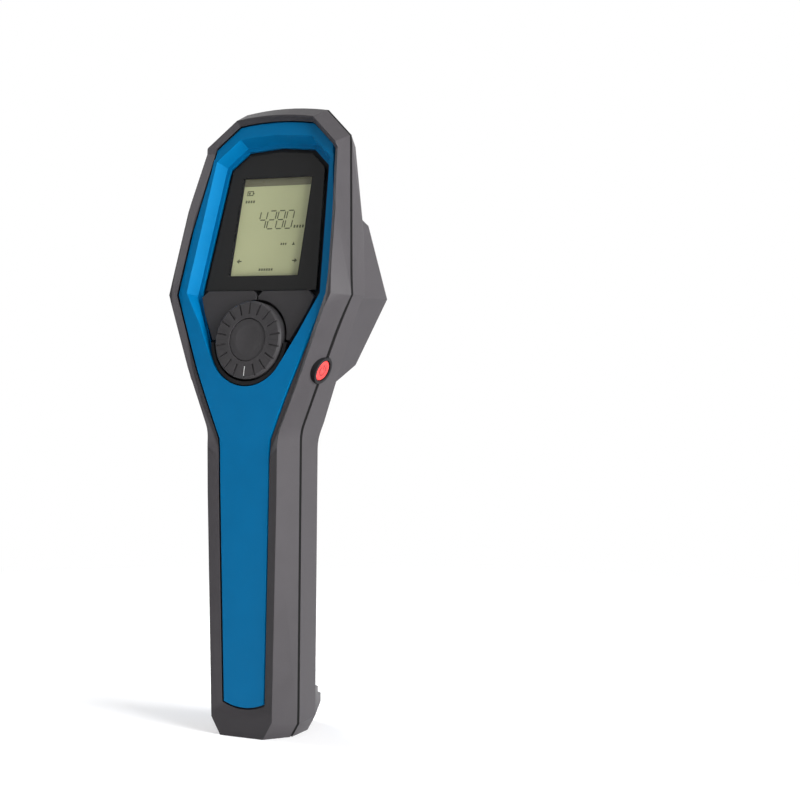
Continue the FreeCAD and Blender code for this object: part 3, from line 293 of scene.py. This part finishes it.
finishes = {
    "housing": moulded("housingGrey", (0.041, 0.038, 0.041), 0.48, scale=3000, bump=0.12, gloss=0.12),
    "blue": moulded("blueLacquer", (0.000, 0.118, 0.290), 0.38,
                    bump=0.08, mottle=0.03, gloss=0.28, sheen=(0.16, 0.72, 1.0)),
    "black": moulded("blackPlastic", (0.012, 0.012, 0.013), 0.50, scale=3000, bump=0.03, gloss=0.08),
    "keys": moulded("keyPlastic", (0.040, 0.038, 0.040), 0.42, scale=3000, gloss=0.14),
    "seal": moulded("blackRubber", (0.006, 0.006, 0.006), 0.65, gloss=0.05),
    "lens": clear("clearLens", (0.97, 0.98, 0.98), 1.49),
    "window": clear("clearWindow", (0.95, 0.96, 0.96), 1.22),
    "red": moulded("redButton", (0.49, 0.017, 0.014), 0.30,
                   scale=2000, depth=0.4, bump=0.02, mottle=0.05, coat=0.1),
    "mask": moulded("maskPlastic", (0.170, 0.155, 0.145), 0.45, scale=3000, bump=0.08, gloss=0.3),
    "board": moulded("solderMask", (0.01, 0.09, 0.04), 0.35),
    "whiteBoard": moulded("whiteSolderMask", (0.75, 0.75, 0.72), 0.4),
    "guide": moulded("frostedGuide", (0.75, 0.75, 0.70), 0.4),
    "badge": moulded("badgePlate", (0.070, 0.077, 0.084), 0.34,
                     scale=2000, depth=0.6, bump=0.04, gloss=0.3),
    "label": moulded("labelFilm", (0.56, 0.62, 0.66), 0.42,
                     scale=1200, depth=0.5, bump=0.03, mottle=0.02, gloss=0.3),
    "phosphor": moulded("ledPhosphor", (0.75, 0.62, 0.12), 0.5),
    "nickel": metal("nickelPlate", (0.40, 0.37, 0.33), 0.36, streak=3000.0),
    "zinc": metal("zincPlate", (0.55, 0.56, 0.58), 0.35),
    "brass": metal("turnedBrass", (0.62, 0.46, 0.20), 0.3),
    "alloy": metal("bareAlloy", (0.62, 0.62, 0.64), 0.4),
    "cell": moulded("cellSleeve", (0.30, 0.31, 0.33), 0.3, coat=0.4),
    "border": moulded("windowBorder", (0.011, 0.011, 0.011), 0.34,
                      scale=3000, depth=0.05, bump=0.002, gloss=0.16),
    "lcd": moulded("lcdGlass", (0.470, 0.485, 0.275), 0.35,
                   scale=600, depth=0.3, bump=0.01, mottle=0.02, gloss=0.2),
    # darker strip along the top of the readout: painted shade
    "lcdShade": moulded("lcdTopShade", (0.145, 0.140, 0.085), 0.35,
                       scale=600, depth=0.3, bump=0.01, gloss=0.2),
    "digit": moulded("lcdSegment", (0.085, 0.090, 0.045), 0.35,
                     scale=900, depth=0.3, bump=0.01, gloss=0.2),
    # white for the glint in the dial's lowest groove: painted highlight
    "grooveGlint": moulded("grooveGlintWhite", (0.60, 0.60, 0.60), 0.45, scale=1500, depth=0.4, bump=0.02, gloss=0.3),
    # darker than the keys, for the dial's grooves: painted shade
    "groove": moulded("grooveShade", (0.031, 0.030, 0.031), 0.55, gloss=0.1),
    # darker red for the sunk power sign: painted shade
    "redSignShade": moulded("redSymbolShade", (0.13, 0.004, 0.006), 0.35, gloss=0.3)}

# every other slot is named as its finish is
slotFinish = {"display": "window", "core_board": "whiteBoard", "heat_sink": "alloy", "emitter": "phosphor"}
nodeFinish = {"key_left": "keys", "key_right": "keys", "jog_ring": "keys", "centre_button": "keys",
              "lamp_window": "window", "side_plug": "housing"}


def finishNodes():
    for part in frame["record"]["subparts"]:
        name, slotName = part["node"], part["material_slot"]
        finish = finishes[nodeFinish.get(name) or slotFinish.get(slotName, slotName)]
        node = frame["nodes"][name]
        if not node.material_slots:
            node.data.materials.append(finish)
        for slot in node.material_slots:
            slot.link = "OBJECT"
            slot.material = finish


finishNodes()
print("finishes set")


# softened copies of the CAD nodes: body, width of the rounded edge, smallest angle
softened = {
    "front_shell": ("housing", 0.5, 28), "rear_shell": ("housing", 0.8, 28),
    "lamp_hood": ("housing", 0.8, 24), "front_trim": ("housing", 0.35, 24),
    "rear_trim": ("housing", 0.5, 24), "battery_cover": ("cover", 0.5, 24),
    "key_left": ("left_key", 0.3, 28), "key_right": ("right_key", 0.3, 28),
    "badge_plate": ("housing", 0.15, 28), "jog_ring": ("jog_dial", 0.2, 30),
    "centre_button": ("dial_cap", 0.25, 30), "power_button": ("power_key", 0.4, 30),
    "power_collar": ("housing", 0.2, 30), "side_plug": ("housing", 0.5, 30),
    "battery_screw": ("cover_screw", 0.15, 30)}
edge = {"segments": 3, "normalWeight": 90, "mergeDistance": 2e-6, "flatAngle": 0.6}
ringCuts = {"lamp_hood": (0.0, 0.160)}     # middle of a round opening: its flat ring is kept in four pieces


def allOf(soft):
    return soft.verts[:] + soft.edges[:] + soft.faces[:]


def mergedMesh(name):
    # the node's loose triangles, merged into flat faces
    mesh = frame["nodes"][name].data.copy()
    soft = bmesh.new()
    soft.from_mesh(mesh)
    bmesh.ops.remove_doubles(soft, verts=soft.verts, dist=edge["mergeDistance"])
    if name in ringCuts:
        x, z = ringCuts[name]
        for normal in ((1, 0, 1), (1, 0, -1)):
            cut = bmesh.ops.bisect_plane(soft, geom=allOf(soft), plane_co=(x, 0, z), plane_no=normal)
            for line in cut["geom_cut"]:
                if isinstance(line, bmesh.types.BMEdge):
                    line.seam = True
    bmesh.ops.dissolve_limit(soft, angle_limit=math.radians(edge["flatAngle"]), verts=soft.verts,
                             edges=soft.edges, delimit={"NORMAL", "SEAM"})
    for face in soft.faces:
        face.smooth = True
    soft.to_mesh(mesh)
    soft.free()
    return mesh


def linkPiece(name, mesh, finish, body):
    piece = bpy.data.objects.new(name, mesh)
    bpy.context.collection.objects.link(piece)
    mesh.materials.clear()
    mesh.materials.append(finish)
    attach(piece, body)
    return piece


def softCopy(name, body, width, angle):
    finish = frame["nodes"][name].material_slots[0].material
    piece = linkPiece(name + "_skin", mergedMesh(name), finish, body)
    bevel = piece.modifiers.new("soften", "BEVEL")
    bevel.width = width * mm
    bevel.segments = edge["segments"]
    bevel.limit_method = "ANGLE"
    bevel.angle_limit = math.radians(angle)
    bevel.miter_outer = "MITER_ARC"
    bevel.use_clamp_overlap = True
    even = piece.modifiers.new("even", "WEIGHTED_NORMAL")
    even.keep_sharp = True
    even.weight = edge["normalWeight"]
    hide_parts(name)


for name, (body, width, angle) in softened.items():
    softCopy(name, body, width, angle)
print("edges softened")


# local frames in millimetres: X to the right, Y up along the face, Z out of it
def wallMatrix(place, out, right):
    out, right = Vector(out), Vector(right)
    turn = Matrix((tuple(right), tuple(out.cross(right)), tuple(out))).transposed().to_4x4()
    x, y, z = place
    shifted = Vector((x, y + originShift, z))
    return Matrix.Translation(shifted * mm) @ turn @ Matrix.Scale(mm, 4)


def faceMatrix(face, depth):
    # a front face that leans back about its foot
    lean = math.radians(face["lean"])
    back = Vector((0, math.cos(lean), -math.sin(lean)))
    return wallMatrix(Vector(face["foot"]) + back * depth, -back, (1, 0, 0))


headFace = {"lean": 15.0, "foot": (0, 0, 154.2)}
dialFace = {"lean": 9.0, "foot": (0, -7.0, 141.7)}


def rectangle(x0, y0, x1, y1):
    return [(x0, y0), (x1, y0), (x1, y1), (x0, y1)]


def arcOutline(inner, outer, first, last, count):
    # flat band along an arc
    turns = [first + (last - first) * i / count for i in range(count + 1)]
    return ([(outer * math.cos(t), outer * math.sin(t)) for t in turns]
            + [(inner * math.cos(t), inner * math.sin(t)) for t in reversed(turns)])


def platePiece(name, outlines, thick, matrix, finish, body):
    # closed plates over flat outlines, drawn anticlockwise in the local frame
    points, faces = [], []
    for outline in outlines:
        first, count = len(points), len(outline)
        points += [Vector((x, y, level)) for level in (thick, 0) for x, y in outline]
        faces.append([first + i for i in range(count)])
        faces.append([first + count + i for i in reversed(range(count))])
        for i in range(count):
            j = (i + 1) % count
            faces.append([first + j, first + i, first + count + i, first + count + j])
    mesh = bpy.data.meshes.new(name)
    mesh.from_pydata([matrix @ point for point in points], [], faces)
    return linkPiece(name, mesh, finishes[finish], body)


# display: black border with the opening for the glass, then what the glass shows, with a painted shade
# along the top of the readout
display = {
    "lcdHalf": 15.0, "lcdLow": 10.9, "lcdHigh": 48.4,
    "borderDepth": 0.02, "borderThick": 0.05, "borderInset": 0.12,
    "inkDepth": 1.79, "inkThick": 0.03, "shadeHigh": 2.9, "shadeThick": 0.015, "shadeInset": 0.05,
    "number": "4280", "numberRight": 8.0, "numberFoot": 29.1, "lean": 0.10,
    "digitHigh": 6.8, "digitWide": 2.9, "digitPitch": 3.85, "stroke": 0.45, "endGap": 0.2475,
    "rows": [                             # small bars: left, foot, top, width, pitch, how many
        (9.2, 29.2, 30.3, 0.7, 1.2, 4), (-13.5, 39.2, 40.2, 0.7, 1.1, 4),
        (4.7, 22.8, 23.6, 0.6, 0.95, 3), (-3.1, 13.2, 14.1, 0.7, 1.05, 6)],
    "boxes": [                            # battery, then the stems of two arrows
        (-13.3, 42.0, -10.6, 42.35), (-13.3, 43.5, -10.6, 43.85), (-13.3, 42.35, -12.95, 43.5),
        (-10.95, 42.35, -10.6, 43.5), (-10.6, 42.6, -10.2, 43.2), (-12.7, 42.55, -11.9, 43.3),
        (-12.2, 16.65, -11.2, 17.15), (10.7, 16.65, 11.7, 17.15)],
    "points": [                           # arrow heads
        [(9.6, 22.7), (10.9, 22.7), (10.25, 24.0)], [(-13.4, 16.9), (-12.2, 16.0), (-12.2, 17.8)],
        [(12.9, 16.9), (11.7, 17.8), (11.7, 16.0)]]}
litSegments = {"0": "abcdef", "2": "abdeg", "4": "bcfg", "8": "abcdefg"}


def makeBorder(values):
    # outline of the window's front face, drawn in and cut open for the glass
    window = bmesh.new()
    window.from_mesh(mergedMesh("display_window"))
    window.transform(faceMatrix(headFace, 0).inverted())
    window.normal_update()
    front = max(window.faces, key=lambda face: (round(face.normal.z, 3), face.calc_area()))
    ring = [vert.co.xy.copy() for vert in front.verts]
    window.free()
    middle = sum(ring, Vector((0, 0))) / len(ring)
    ring = [point - (point - middle).normalized() * values["borderInset"] for point in ring]
    sheet = bmesh.new()
    sheet.faces.new([sheet.verts.new((point.x, point.y, 0)) for point in ring])
    half, low, high = values["lcdHalf"], values["lcdLow"], values["lcdHigh"]
    for place, normal in (((-half, 0, 0), (1, 0, 0)), ((half, 0, 0), (1, 0, 0)),
                          ((0, low, 0), (0, 1, 0)), ((0, high, 0), (0, 1, 0))):
        bmesh.ops.bisect_plane(sheet, geom=allOf(sheet), plane_co=place, plane_no=normal)
    middle = Vector((0, (low + high) / 2, 0))
    hole = min(sheet.faces, key=lambda face: (face.calc_center_median() - middle).length)
    bmesh.ops.delete(sheet, geom=[hole], context="FACES")
    sheet.transform(faceMatrix(headFace, values["borderDepth"]))
    border = bpy.data.meshes.new("window_border")
    sheet.to_mesh(border)
    sheet.free()
    piece = linkPiece("window_border", border, finishes["border"], "housing")
    thick = piece.modifiers.new("thick", "SOLIDIFY")
    thick.thickness = values["borderThick"] * mm
    thick.offset = 1.0


def segmentOutlines(values):
    # the seven bars of a digit, with pointed ends
    wide, high, gap = values["digitWide"], values["digitHigh"], values["endGap"]
    middle, tip = high / 2, values["stroke"] / 2

    def across(y):
        x0, x1 = gap, wide - gap
        return [(x0, y), (x0 + tip, y - tip), (x1 - tip, y - tip),
                (x1, y), (x1 - tip, y + tip), (x0 + tip, y + tip)]

    def upright(x, y0, y1):
        return [(x, y0), (x + tip, y0 + tip), (x + tip, y1 - tip),
                (x, y1), (x - tip, y1 - tip), (x - tip, y0 + tip)]

    return {"a": across(high), "g": across(middle), "d": across(0.0),
            "b": upright(wide, middle + gap, high - gap), "c": upright(wide, gap, middle - gap),
            "f": upright(0.0, middle + gap, high - gap), "e": upright(0.0, gap, middle - gap)}


def makeReadout(values):
    shapes = segmentOutlines(values)
    lean, foot = values["lean"], values["numberFoot"]
    outlines = []
    for place, digit in enumerate(reversed(values["number"])):
        left = values["numberRight"] - values["digitWide"] - place * values["digitPitch"]
        for segment in litSegments[digit]:
            outlines.append([(left + x + y * lean, foot + y) for x, y in shapes[segment]])
    for left, low, high, wide, pitch, count in values["rows"]:
        starts = [left + i * pitch for i in range(count)]
        outlines += [rectangle(start, low, start + wide, high) for start in starts]
    outlines += [rectangle(*box) for box in values["boxes"]] + values["points"]
    matrix = faceMatrix(headFace, values["inkDepth"])
    platePiece("lcd_segments", outlines, values["inkThick"], matrix, "digit", "housing")
    # a darker sheet along the readout's top: painted shade
    half, top, inset = values["lcdHalf"], values["lcdHigh"], values["shadeInset"]
    topShade = [rectangle(inset - half, top - values["shadeHigh"], half - inset, top - inset)]
    platePiece("lcd_top_shade", topShade, values["shadeThick"], matrix, "lcdShade", "housing")


makeBorder(display)
makeReadout(display)
print("display drawn")


# node trees for what repeats
def growPiece(name, tree, values, matrix, finish, body):
    holder = bpy.data.objects.new(name + "Tree", bpy.data.meshes.new(name + "Tree"))
    bpy.context.collection.objects.link(holder)
    modifier = holder.modifiers.new("tree", "NODES")
    modifier.node_group = tree
    inputs = {**values, "Material": finishes[finish]}
    for item in tree.interface.items_tree:
        if item.in_out == "INPUT":
            modifier[item.identifier] = inputs[item.name]
    graph = bpy.context.evaluated_depsgraph_get()
    mesh = bpy.data.meshes.new_from_object(holder.evaluated_get(graph))
    bpy.data.objects.remove(holder)
    mesh.name = name
    mesh.transform(matrix)
    return linkPiece(name, mesh, finishes[finish], body)


def growTree(name, **sizes):
    return newTree(name, "GeometryNodeTree", {**sizes, "Turn": "Float", "Material": "Material"},
                   {"Geometry": "Geometry"})


def placeAlongX(tree, geometry, distance, lift=0.0):
    shift = addNode(tree, "ShaderNodeCombineXYZ", {"X": distance, "Z": lift})
    return addNode(tree, "GeometryNodeTransform", {
        "Geometry": geometry, "Translation": shift.outputs[0]}).outputs[0]


def spinAround(tree, form, count, start, end):
    # copies of a form, turned evenly about Z, made real and given their material
    points = addNode(tree, "GeometryNodePoints", {"Count": count})
    index = addNode(tree, "GeometryNodeInputIndex")
    step = mathNode(tree, "DIVIDE", math.tau, count)
    angle = mathNode(tree, "MULTIPLY_ADD", index.outputs[0], step, start["Turn"])
    turn = addNode(tree, "ShaderNodeCombineXYZ", {"Z": angle})
    many = addNode(tree, "GeometryNodeInstanceOnPoints", {
        "Points": points.outputs[0], "Instance": form, "Rotation": turn.outputs[0]})
    real = addNode(tree, "GeometryNodeRealizeInstances", {"Geometry": many.outputs[0]})
    dressed = addNode(tree, "GeometryNodeSetMaterial", {
        "Geometry": real.outputs[0], "Material": start["Material"]})
    setInputs(tree, end, {"Geometry": dressed.outputs[0]})


def spokeTree():
    # bars standing on a ring, each with its foot at the inner radius
    tree, start, end = growTree("spokes", Count="Int", Inner="Float", Length="Float", Width="Float",
                                Height="Float")
    size = addNode(tree, "ShaderNodeCombineXYZ", {
        "X": start["Length"], "Y": start["Width"], "Z": start["Height"]})
    bar = addNode(tree, "GeometryNodeMeshCube", {"Size": size.outputs[0]})
    middle = mathNode(tree, "MULTIPLY_ADD", start["Length"], 0.5, start["Inner"])
    spinAround(tree, placeAlongX(tree, bar.outputs["Mesh"], middle), start["Count"], start, end)
    return tree


def ridgeTree(values):
    # two round ridges on each lens, the inner one sunk
    tree, start, end = growTree("ridges", Lenses="Int", Circle="Float", Outer="Float", Inner="Float",
                                Thick="Float", Sink="Float")
    rings = addNode(tree, "GeometryNodeJoinGeometry")
    section = addNode(tree, "GeometryNodeCurvePrimitiveCircle", {
        "Resolution": values["sides"], "Radius": start["Thick"]})
    for label, lift in (("Outer", 0.0), ("Inner", mathNode(tree, "MULTIPLY", start["Sink"], -1.0))):
        path = addNode(tree, "GeometryNodeCurvePrimitiveCircle", {
            "Resolution": values["steps"], "Radius": start[label]})
        tube = addNode(tree, "GeometryNodeCurveToMesh", {
            "Curve": path.outputs["Curve"], "Profile Curve": section.outputs["Curve"]})
        setInputs(tree, rings, {0: placeAlongX(tree, tube.outputs["Mesh"], start["Circle"], lift)})
    spinAround(tree, rings.outputs[0], start["Lenses"], start, end)
    return tree


# dial: shallow dark bars on the ring, painted shade for its grooves, and one white bar at its foot, a
# painted glint in the groove there
dial = {
    "lines": {"Count": 20, "Inner": 9.3, "Length": 3.7, "Width": 0.12, "Height": 0.03, "Turn": 0.0},
    "glint": {"Count": 1, "Inner": 9.6, "Length": 3.4, "Width": 0.28, "Height": 0.06, "Turn": -math.pi / 2}}


def makeDial(values):
    tree, matrix = spokeTree(), faceMatrix(dialFace, 0)
    growPiece("dial_groove_shades", tree, values["lines"], matrix, "groove", "jog_dial")
    growPiece("dial_groove_glint", tree, values["glint"], matrix, "grooveGlint", "jog_dial")


# lamp: round ridges in the lenses, drawn in bright bare metal as a painted glint
lampDetail = {
    "place": (0, 30.3, 160.0), "sides": 10, "steps": 48,
    "ridges": {"Lenses": 3, "Circle": 13.1, "Outer": 5.4, "Inner": 2.5, "Thick": 0.2, "Sink": 0.5,
               "Turn": -math.pi / 2}}


def makeLamp(values):
    matrix = wallMatrix(values["place"], (0, 1, 0), (-1, 0, 0))
    growPiece("lens_ridge_glints", ridgeTree(values), values["ridges"], matrix, "alloy", "housing")


# power button: a moulded ring, open at the top, and a bar on its face, both sunk into it; their darker red
# is painted shade
power = {"place": (27.74, 0, 130.7), "out": (0.9231, 0.0, -0.3845), "rise": -0.21, "thick": 0.04,
         "ring": 1.75, "stroke": 0.42, "open": 38.0, "steps": 24, "barFrom": 0.5, "barTo": 2.15}


def makePowerSign(values):
    half, ring, gap = values["stroke"] / 2, values["ring"], math.radians(values["open"])
    top = math.pi / 2
    arc = arcOutline(ring - half, ring + half, top + gap - math.tau, top - gap, values["steps"])
    bar = rectangle(-half, values["barFrom"], half, values["barTo"])
    out = Vector(values["out"])
    matrix = wallMatrix(Vector(values["place"]) + out * values["rise"], out, (0, 1, 0))
    platePiece("power_sign", [arc, bar], values["thick"], matrix, "redSignShade", "power_key")


# painted shades, dark sheets in the seal's finish that mark a gap or a slot: round the blank plug, and at
# the bottom of the cover screw's slot
shades = {"thick": 0.03, "plug": (-26.41, 0, 127.5), "plugOut": (-0.9231, 0.0, -0.3845), "plugRise": -0.69,
          "plugInner": 4.85, "plugOuter": 5.3, "plugSlit": 0.004, "plugSteps": 40,
          "screw": (0, 23.4, 20.0), "slotLong": 6.2, "slotWide": 1.1, "slotTurn": 60.0}


def makeShades(values):
    out = Vector(values["plugOut"])
    ring = arcOutline(values["plugInner"], values["plugOuter"], 0.0, math.tau - values["plugSlit"],
                      values["plugSteps"])
    matrix = wallMatrix(Vector(values["plug"]) + out * values["plugRise"], out, (0, -1, 0))
    platePiece("plug_gap_shade", [ring], values["thick"], matrix, "seal", "housing")
    x, y = values["slotLong"] / 2, values["slotWide"] / 2
    spin = Matrix.Rotation(math.radians(values["slotTurn"]), 4, "Z")
    matrix = wallMatrix(values["screw"], (0, 1, 0), (-1, 0, 0)) @ spin
    platePiece("slot_shade", [rectangle(-x, -y, x, y)], values["thick"], matrix, "seal", "cover_screw")


makeDial(dial)
makeLamp(lampDetail)
makePowerSign(power)
makeShades(shades)
print("small details placed")
